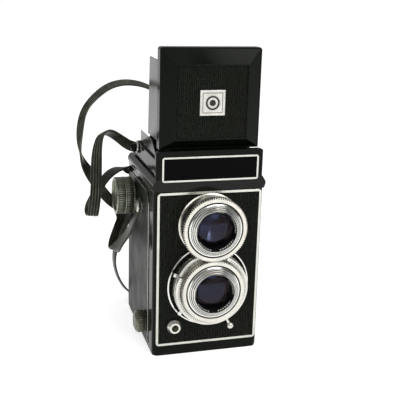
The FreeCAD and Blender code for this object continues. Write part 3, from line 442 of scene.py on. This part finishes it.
def tube(line, radius, sides=10, closed=True):
    """A round bead along a line of points."""
    line = [Vector(p) for p in line]
    count = len(line)
    points, faces = [], []
    normal = None
    for n, here in enumerate(line):
        before = line[n - 1] if closed or n else here
        after = line[(n + 1) % count] if closed or n < count - 1 else here
        forward = (after - before).normalized()
        if normal is None:
            normal = forward.orthogonal().normalized()
        normal = (normal - forward * normal.dot(forward)).normalized()
        other = forward.cross(normal)
        for k in range(sides):
            angle = TAU * k / sides
            points.append(here + (normal * math.cos(angle) + other * math.sin(angle)) * radius)
    for n in range(count if closed else count - 1):
        a, b = n * sides, (n + 1) % count * sides
        for k in range(sides):
            m = (k + 1) % sides
            faces.append((a + k, a + m, b + m, b + k))
    if not closed:
        faces.append(tuple(range(sides)))
        faces.append(tuple(range((count - 1) * sides, count * sides)))
    return points, faces


def merged(*meshes):
    """Several meshes as one."""
    points, faces = [], []
    for more_points, more_faces in meshes:
        start = len(points)
        points += more_points
        faces += [tuple(start + k for k in face) for face in more_faces]
    return points, faces


def block(low, high, edge):
    """A box with rounded edges."""
    work = bmesh.new()
    bmesh.ops.create_cube(work, size=1)
    low, high = Vector(low), Vector(high)
    for vertex in work.verts:
        vertex.co = Vector(low[k] if vertex.co[k] < 0 else high[k] for k in range(3))
    bmesh.ops.bevel(work, geom=work.edges[:], offset=edge, segments=3, profile=0.5, affect="EDGES")
    work.verts.index_update()
    points = [v.co.copy() for v in work.verts]
    faces = [tuple(v.index for v in face.verts) for face in work.faces]
    work.free()
    return points, faces


def rounded_frame(half_w, low, high, radius, y):
    """A rounded rectangle upright in the XZ plane."""
    steps = 6
    line = []
    for cx, cz, start in ((half_w - radius, low + radius, -90), (half_w - radius, high - radius, 0),
                          (radius - half_w, high - radius, 90), (radius - half_w, low + radius, 180)):
        for k in range(steps + 1):
            angle = math.radians(start + 90 * k / steps)
            line.append((cx + radius * math.cos(angle), y, cz + radius * math.sin(angle)))
    return line


# ---------------------------------------------------------------- neck strap

# Each point of the strap's middle line, in millimetres, with the way its ribbed face looks there.
STRAP_LINE = [
    ((-40.15, -6, 104.5), (1, 0, 0)), ((-40.15, -6, 98), (1, 0, 0)), ((-41.3, -6, 92.5), (1, 0, 0)),
    ((-44.7, -4, 84.3), (1, -0.05, 0)), ((-46.3, 2, 76), (1, -0.05, 0)),
    ((-51.5, 11, 64), (0.9, -0.2, 0.3)), ((-54, 22, 55), (0.3, 0.1, 0.95)),
    ((-52.8, 33, 57.9), (0.6, -0.6, 0.5)), ((-48.5, 39, 67.2), (0.65, -0.7, 0.1)),
    ((-43.4, 43.5, 75.6), (0.5, -0.85, 0.1)), ((-47.2, 42, 83.8), (-0.9, -0.3, 0.3)),
    ((-57.5, 33, 94.9), (-0.3, 0.9, 0.3)), ((-68.8, 24, 112.1), (-0.3, 0.95, 0)),
    ((-77.5, 22, 128), (-0.95, 0.25, 0)), ((-77, 28, 143.9), (-0.85, -0.5, 0.1)),
    ((-73.1, 36, 158.6), (-0.85, -0.45, 0.3)), ((-63, 45, 167.9), (-0.45, -0.35, 0.8)),
    ((-51.1, 50, 175.2), (-0.2, -0.4, 0.9)), ((-36.9, 54, 177.1), (0, -0.4, 0.9)),
    ((-20.4, 56, 173.3), (0.25, -0.3, 0.9)), ((-6, 58, 163), (0.6, -0.1, 0.8)), ((4, 57, 149), (1, 0, 0.2)),
    ((4, 51, 136), (0.8, 0.2, -0.6)), ((-7, 42, 130), (0, 0.3, -0.95)), ((-23, 38, 128.6), (0, 0.6, -0.75)),
    ((-38, 37, 131), (0, 0.95, 0.1)), ((-47, 33, 138.3), (0.2, 0.85, 0.5)),
    ((-55.4, 26, 144.7), (0.15, 0.8, 0.6)), ((-62.6, 18, 146.1), (-0.5, 0.1, 0.85)),
    ((-66.6, 12, 137.8), (-0.75, -0.6, 0.2)), ((-68, 8, 124.4), (-0.3, -0.95, 0.1)),
    ((-68.7, 5, 107.9), (-0.15, -0.98, 0.1)), ((-70.5, 3, 94.6), (-0.15, -0.98, 0)),
    ((-71.3, 7, 87.2), (-0.1, -0.3, -0.95)), ((-72.8, 14, 90.8), (-0.1, 0.75, -0.65)),
    ((-68.7, 16, 99.7), (0.5, 0.5, -0.6)), ((-61.5, 20, 110.6), (0.3, 0.3, -0.9)),
    ((-53.5, 27, 115.6), (0, 0.3, -0.95)), ((-44.2, 38, 115.4), (0.2, 0.2, -0.95)),
    ((-35.6, 48.8, 111.5), (0.9, 0.3, -0.4)), ((-34.8, 50, 99.7), (1, 0, 0)), ((-34.9, 50, 86.9), (1, 0, 0)),
    ((-38, 49, 76), (0.6, 0.8, 0)), ((-45.1, 48, 56.3), (0.9, 0.3, 0.1)), ((-49.5, 48.5, 41.2), (1, 0.05, 0)),
    ((-46.7, 51, 25.3), (0.95, 0.1, 0.3)), ((-38.9, 56, 9.8), (0.6, 0.1, 0.8)), ((-29, 61, 2), (0.1, 0, 1)),
    ((-12, 66, 1.1), (0, 0, 1)), ((8, 69, 1.1), (0, 0, 1)), ((27, 66, 1.1), (-0.05, 0, 1)),
    ((42, 56, 2.4), (-0.4, 0, 0.9)), ((50, 43, 12), (-0.8, 0, 0.6)), ((51, 29, 27), (-0.9, 0.3, 0)),
    ((49.5, 17, 44), (-0.5, 0.8, 0.4)), ((47, 7, 61), (0.3, 0.8, 0.4)), ((43.6, -2, 78), (0.9, 0.3, 0)),
    ((41.3, -6, 92.5), (1, 0, 0)), ((40.15, -6, 98), (1, 0, 0)), ((40.15, -6, 104.5), (1, 0, 0)),
]
STRAP_W, STRAP_T = 7.8, 1.6


def spline_points(controls):
    """Points along the smooth spline through a list of control points, in millimetres."""
    data = bpy.data.curves.new("line", "CURVE")
    data.dimensions = "3D"
    data.resolution_u = 8
    spline = data.splines.new("NURBS")
    spline.points.add(len(controls) - 1)
    for point, spot in zip(spline.points, controls):
        point.co = (*spot, 1)
    spline.order_u = 3
    spline.use_endpoint_u = True
    holder = bpy.data.objects.new("line", data)
    mesh = bpy.data.meshes.new_from_object(holder)
    found = [v.co.copy() for v in mesh.vertices]
    bpy.data.objects.remove(holder)
    bpy.data.curves.remove(data)
    bpy.data.meshes.remove(mesh)
    return found


def strap_section():
    """Three narrow ribs and two raised edges on the front, and a smooth back.  Each point comes with how far
    it is painted pale, from 0 to 1: a painted highlight on the crests of the ribs, and an even paleness on
    the back."""
    half, thick = STRAP_W / 2, STRAP_T / 2
    front_steps, back_steps, groove_depth, back_pale = 48, 12, 0.55, 0.42

    def rise(across):
        edge = min(1.0, (1 - abs(across)) / 0.09)
        return thick * (0.45 + 0.55 * math.sin(edge * math.pi / 2))

    outline = []
    for k in range(front_steps + 1):
        across = -1 + 2 * k / front_steps
        crest = math.cos(across * TAU) ** 4
        groove = groove_depth * (1 - crest) if abs(across) < 0.97 else 0
        # The third value is the painted highlight, full on the crests of the ribs.
        outline.append((across * half, rise(across) - groove, crest))
    for k in range(back_steps, -1, -1):
        across = -1 + 2 * k / back_steps
        outline.append((across * half, -rise(across), back_pale))
    return outline


def make_strap():
    """The flat band along its line, narrowed to a round end at each stud."""
    end_rows = 6
    line = spline_points([spot for spot, _ in STRAP_LINE])
    looks = spline_points([look for _, look in STRAP_LINE])
    section = strap_section()
    size = len(section)
    points, faces = [], []
    for n, (here, look) in enumerate(zip(line, looks)):
        forward = (line[min(n + 1, len(line) - 1)] - line[max(n - 1, 0)]).normalized()
        face = (look - forward * look.dot(forward)).normalized()
        side = forward.cross(face)
        from_end = min(n, len(line) - 1 - n)
        narrow = math.sqrt(max(0.05, 1 - (1 - min(from_end, end_rows) / end_rows) ** 2))
        for across, up, _ in section:
            points.append(here + side * across * narrow + face * up)
    for n in range(len(line) - 1):
        a, b = n * size, (n + 1) * size
        for k in range(size):
            m = (k + 1) % size
            faces.append((a + k, a + m, b + m, b + k))
    faces.append(tuple(range(size)))
    faces.append(tuple(range((len(line) - 1) * size, len(line) * size)))
    strap = piece("neck_strap_band", points, faces, STRAP, "camera_body", "strap_leather", sharp=50,
                  replaced=("neck_strap",))
    crests = strap.data.attributes.new("crest", "FLOAT", "POINT")
    crests.data.foreach_set("value", [crest for _ in line for _, _, crest in section])


make_strap()


# ---------------------------------------------------------------- knobs

def knurled_knob(name, body, node, turn, y, z, profile, teeth, finish, slot):
    """A knob on the body's side; turn is -1 on the left side and 1 on the right."""
    pattern = (0, 0, 0, 0.85, 0.85)
    shape = lathe(profile, (0, y, z), (turn, 0, 0), segments=teeth * len(pattern), relief=pattern)
    piece(name, *shape, finish, body, slot, sharp=28, replaced=(node,))


def wind_knob():
    face = SIDE_X
    profile = [
        (0, face + 13.1), (6.5, face + 13.1), (7.0, face + 13.6), (10.4, face + 13.6), (11.2, face + 15.0),
        (12.6, face + 15.25), (13.3, face + 15.0), (13.55, face + 14.5), (13.3, face + 14.0),
        (13.3, face + 13.9, 0.6), (13.4, face + 13.5, 0.6), (13.4, face + 9.5, 0.6), (13.3, face + 9.1, 0.6),
        (13.3, face + 9.0), (13.6, face + 8.7), (13.6, face + 8.3), (13.3, face + 8.0),
        (13.3, face + 7.9, 0.6), (13.4, face + 7.5, 0.6), (13.4, face + 3.4, 0.6), (13.2, face + 3.0, 0.6),
        (13.1, face + 2.9), (13.3, face + 2.6), (12.9, face + 2.2), (9.0, face + 2.2), (9.0, face + 0.8),
        (3.0, face + 0.8), (3.0, 28.0), (0, 28.0),
    ]
    knurled_knob("winding_knob", "film_wind", "wind_knob", -1, KNOB_Y, KNOB_Z, profile, 62, OLIVE,
                 "olive_metal")


def spool_knobs():
    face = SIDE_X
    profile = [
        (0, face + 7.7), (4.6, face + 7.7), (5.2, face + 8.0), (5.8, face + 7.7), (6.9, face + 6.9),
        (7.5, face + 6.4), (7.8, face + 6.0), (7.85, face + 5.8, 0.45), (7.9, face + 5.4, 0.45),
        (7.9, face + 2.0, 0.45), (7.8, face + 1.6, 0.45), (7.6, face + 1.4), (7.9, face + 1.1),
        (7.5, face + 0.8), (3.0, face + 0.8), (3.0, 28.0), (0, 28.0),
    ]
    for name, body, node, turn, y, z in (
            ("lower_knob", "supply_knob", "supply_spool_knob", -1, LOWER_KNOB_Y, LOWER_KNOB_Z),
            ("far_knob", "take_up_knob", "take_up_spool_knob", 1, KNOB_Y, KNOB_Z)):
        knurled_knob(name, body, node, turn, y, z, profile, 34, BRASS, "worn_brass")


wind_knob()
spool_knobs()


# ---------------------------------------------------------------- lens fronts

def on_axis(height):
    return (0, FRONT_Y, height), (0, -1, 0)


def lens_front(which, body, height):
    """The ridged bright collar with dark gaps between its ridges, the engraved black ring inside it, the
    dark groove round it and the dark stop behind the glass."""
    origin, along = on_axis(height)
    rise = [(13.75, 14.6), (18.2, 14.6), (18.25, 15.4), (18.0, 15.75), (17.1, 16.1)]
    ridges, pitch, climb = 3, 1.1, 0.84
    for n in range(ridges):
        radius, a = 17.05 - n * pitch, 15.75 + n * climb
        rise += [(radius, a - 0.1), (radius - 0.3, a + 0.6), (radius - 0.45, a + 0.85),
                 (radius - 0.85, a + 0.95), (radius - 1.0, a + 0.4)]
    rise += [(13.8, 18.1), (13.78, 18.65), (13.72, 18.6)]
    piece(f"{which}_collar", *lathe(rise, origin, along, 160), CHROME, body, "bright_chrome", sharp=24,
          replaced=(f"{which}_bezel",))
    gaps = [(17.0, 15.5), (17.0, 16.0), (13.8, 18.25), (13.8, 17.7)]
    piece(f"{which}_collar_gaps", *lathe(gaps, origin, along, 128), MATT, body, "black_satin", sharp=30)
    cone = [(13.7, 18.45), (12.25, 16.3), (12.1, 15.3), (12.1, 11.2), (13.7, 11.2)]
    piece(f"{which}_engraved_ring", *lathe(cone, origin, along, 160), ENGRAVED, body, "black_satin", sharp=30)
    groove = [(19.1, 14.52), (19.1, 14.75), (18.25, 14.75), (18.25, 14.52)]
    piece(f"{which}_groove", *lathe(groove, origin, along, 128), MATT, body, "black_satin", sharp=30)
    stop = [(11.9, 11.4), (11.9, 9.8), (10.6, 9.4), (9.4, 9.2), (8.2, 9.1), (8.2, 8.7), (12.6, 8.7),
            (12.6, 11.1)]
    piece(f"{which}_inner_stop", *lathe(stop, origin, along, 96), MATT, body, "black_satin", sharp=30)


lens_front("viewing", "viewing_ring", VIEW_Z)
lens_front("taking", "taking_ring", TAKE_Z)


def radial_marks(height, radius, length, distance, angles, width, flank=False):
    """Fine strokes set round a lens: on a front face along the radius, or on a flank along the axis."""
    stand = 0.03
    meshes = []
    for angle in angles:
        turn = math.radians(angle)
        out = Vector((math.cos(turn), 0, math.sin(turn)))
        across = Vector((-math.sin(turn), 0, math.cos(turn)))
        centre = Vector((0, FRONT_Y, height))
        if flank:
            base = centre + out * radius
            run, up = Vector((0, -1, 0)), out
            start = base + run * distance
        else:
            run, up = out, Vector((0, -1, 0))
            start = centre + out * radius + up * distance
        corners = []
        for lift in (-stand, stand):
            for step, side in ((0, -1), (length, -1), (length, 1), (0, 1)):
                corners.append(start + run * step + across * side * width / 2 + up * lift)
        faces = [(0, 1, 2, 3), (4, 5, 6, 7), (0, 1, 5, 4), (1, 2, 6, 5), (2, 3, 7, 6), (3, 0, 4, 7)]
        meshes.append((corners, faces))
    return merged(*meshes)


def scales():
    """Unnumbered scales on the speed ring, the viewing ring and the shutter housing."""
    angles = [158 + 3.6 * n for n in range(73)]
    ring = radial_marks(TAKE_Z, radius=22.9, length=0.9, distance=11.8, angles=angles, width=0.42)
    piece("speed_scale", *ring, BLACK_MARK, "speed_setting", "black_satin")
    flank = []
    for length, width, angles in ((3.4, 0.28, [n * 12 for n in range(30)]),
                                  (1.8, 0.22, [n * 3 for n in range(120) if n % 4])):
        flank.append(radial_marks(VIEW_Z, 20.9, length, 7.6, angles, width, flank=True))
    piece("viewing_scale", *merged(*flank), BLACK_MARK, "viewing_ring", "black_satin")
    angles = [120 + 3 * n for n in range(64)]
    flank = radial_marks(TAKE_Z, radius=25.6, length=1.1, distance=3.0, angles=angles, width=0.3, flank=True)
    piece("shutter_scale", *flank, BLACK_MARK, "camera_body", "black_satin")


scales()


# ---------------------------------------------------------------- hood, nameplate and badge

def lid_details():
    """Two beads round the ribbed lid panel, and a plain ring and dot in a square on the badge."""
    beads = merged(tube(rounded_frame(24.15, 151.75, 199.85, 0.8, -43.05), 0.28),
                   tube(rounded_frame(22.9, 153.0, 198.6, 0.5, -42.75), 0.22))
    piece("lid_beads", *beads, BLACK, "lid", "black_lacquer", sharp=60)
    y, middle = LID_PANEL_Y, BADGE_Z
    square = tube(rounded_frame(6.6, middle - 6.4, middle + 6.4, 0.15, y - 0.02), 0.16, sides=6)
    around = [TAU * n / 48 for n in range(48)]
    circle = tube([(4.1 * math.cos(a), y - 0.02, middle + 4.1 * math.sin(a)) for a in around], 0.55, sides=8)
    spot = lathe([(0, 0.12), (1.9, 0.12), (2.1, 0.0), (2.1, -0.3), (0, -0.3)], (0, y, middle), (0, -1, 0), 48)
    piece("badge_emblem", *merged(square, circle, spot), BLACK_MARK, "lid", "black_satin", sharp=40)


def hinge_barrels():
    """Rolled hinge barrels of the wings, leaves and flap, on the lines they turn about."""
    count, pitch, length, radius = 5, 10.2, 9.4, 0.55
    for side, name in ((-1, "left"), (1, "right")):
        wing, leaf = [], []
        for n in range(count):
            x, low = side * WING_X, 150.5 + n * pitch
            wing.append(tube([(x, WING_Y, low), (x, WING_Y, low + length)], radius, 12, closed=False))
            x, low = side * LEAF_X, -29.5 + n * pitch
            leaf.append(tube([(x, low, LEAF_Z), (x, low + length, LEAF_Z)], radius, 12, closed=False))
        piece(f"wing_barrels_{name}", *merged(*wing), SHEET_BLACK, f"{name}_wing", "black_lacquer")
        piece(f"leaf_barrels_{name}", *merged(*leaf), SHEET_BLACK, f"{name}_leaf", "black_lacquer")
    flap = []
    for n in range(count):
        line = [(-30 + n * 12.1, FLAP_Y, FLAP_Z), (-19 + n * 12.1, FLAP_Y, FLAP_Z)]
        flap.append(tube(line, 0.6, 12, closed=False))
    piece("flap_barrels", *merged(*flap), SHEET_BLACK, "rear_flap", "black_lacquer")


def button_ring():
    """The bright ring round the hood's release button."""
    ring = [(3.1, 35.9), (3.1, 36.75), (3.3, 37.0), (3.9, 37.0), (4.3, 36.6), (4.3, 35.9)]
    shape = lathe(ring, (0, BUTTON_Y, BUTTON_Z), (-1, 0, 0), 64)
    piece("button_ring", *shape, SILVER, "camera_body", "satin_silver")


lid_details()
hinge_barrels()
button_ring()


# ---------------------------------------------------------------- body edges

def side_edge_highlights():
    """Satin silver beads as painted highlights along the foot, front and top edges of each side panel, and
    along the seam under the shoulder."""
    front, back, foot, top, corner, seam_z = -28.6, 42.5, 2.9, 113.1, 9, 117.6
    for side, name in ((-1, "left"), (1, "right")):
        x = side * (SIDE_X + 0.35)
        line = [(x, back, foot), (x, front, foot), (x, front, 104)]
        for k in range(9):
            angle = math.radians(180 - 90 * k / 8)
            line.append((x, front + corner * (1 + math.cos(angle)), top - corner * (1 - math.sin(angle))))
        line.append((x, back, top))
        # Painted highlight: the panel's edge is drawn as a thin satin silver bead.
        highlight_line = tube(line, 0.22, 8, closed=False)
        piece(f"side_edge_highlights_{name}", *highlight_line, SILVER, "camera_body", "satin_silver", sharp=60)
    # Painted highlight: the seam under the shoulder is a thin satin silver bead too.
    seam = []
    for x in (-SIDE_X - 0.05, SIDE_X + 0.05):
        seam.append(tube([(x, -41.5, seam_z), (x, back, seam_z)], 0.16, 8, closed=False))
    piece("seam_highlight", *merged(*seam), SILVER, "camera_body", "satin_silver", sharp=60)


def rear_details():
    """A pressed bead round the rear door and a knurled thumb piece on its catch."""
    door_y = 44.02
    line = rounded_frame(29.5, 13.0, 97.5, 3, door_y)
    piece("door_bead", *tube(line, 0.35), BLACK, "rear_door", "black_lacquer", sharp=60)
    lows = [-6.6 + n * 1.6 for n in range(9)]
    ridges = [block((low, 46.25, 103.8), (low + 0.8, 46.75, 107.7), 0.2) for low in lows]
    piece("latch_ridges", *merged(*ridges), SILVER, "door_latch", "satin_silver")


side_edge_highlights()
rear_details()


# ---------------------------------------------------------------- stage and light

def make_floor():
    paint = Paint("pale_floor", specular_ior_level=0.1, emission_color=rgb(1, 1, 1), emission_strength=0.62)
    paint.set(base_color=paint.blend(paint.noise(2, 2), rgb(0.93, 0.93, 0.93), rgb(0.90, 0.90, 0.90)))
    paint.set(roughness=0.9)
    size = 60.0
    mesh = bpy.data.meshes.new("floor")
    corners = [(-size, -size, 0), (size, -size, 0), (size, size, 0), (-size, size, 0)]
    mesh.from_pydata(corners, [], [(0, 1, 2, 3)])
    mesh.materials.append(paint.material)
    floor = bpy.data.objects.new("floor", mesh)
    bpy.context.scene.collection.objects.link(floor)


def make_world():
    """Pale grey all round and above, and dark low down in front."""
    pale, dim = 0.45, 0.08
    world = bpy.data.worlds.new("studio")
    bpy.context.scene.world = world
    world.use_nodes = True
    tree = world.node_tree
    place = tree.nodes.new("ShaderNodeTexCoord")
    axes = tree.nodes.new("ShaderNodeSeparateXYZ")
    tree.links.new(place.outputs["Generated"], axes.inputs[0])
    in_front = tree.nodes.new("ShaderNodeMapRange")
    overhead = tree.nodes.new("ShaderNodeMapRange")
    for node, low, high in ((in_front, 0.15, -0.45), (overhead, 0.25, 0.5)):
        for socket, value in zip(list(node.inputs)[1:5], (low, high, 0.0, 1.0)):
            socket.default_value = value
    tree.links.new(axes.outputs[1], in_front.inputs[0])
    tree.links.new(axes.outputs[2], overhead.inputs[0])
    dark = tree.nodes.new("ShaderNodeMath")
    dark.operation = "SUBTRACT"
    dark.use_clamp = True
    tree.links.new(in_front.outputs[0], dark.inputs[0])
    tree.links.new(overhead.outputs[0], dark.inputs[1])
    level = tree.nodes.new("ShaderNodeMapRange")
    for socket, value in zip(list(level.inputs)[1:5], (0.0, 1.0, pale, dim)):
        socket.default_value = value
    tree.links.new(dark.outputs[0], level.inputs[0])
    tree.links.new(level.outputs[0], tree.nodes["Background"].inputs["Strength"])
    tree.nodes["Background"].inputs["Color"].default_value = rgb(1, 1, 1)


def make_light(name, place, aim, size, power):
    data = bpy.data.lights.new(name, "AREA")
    data.shape = "DISK"
    data.size = size
    data.energy = power
    light = bpy.data.objects.new(name, data)
    light.location = place
    light.rotation_euler = (Vector(aim) - Vector(place)).to_track_quat("-Z", "Y").to_euler()
    bpy.context.scene.collection.objects.link(light)


make_floor()
make_world()
make_light("key", (0.55, -0.55, 1.05), (0, 0, 0.08), 0.7, 5.0)
make_light("fill", (-0.6, -1.0, 0.9), (0, 0, 0.1), 1.0, 4.0)
make_light("front_box", (0.36, -1.25, 0.78), (0, 0, 0.15), 0.8, 3.2)
bpy.context.scene.view_settings.view_transform = "Standard"
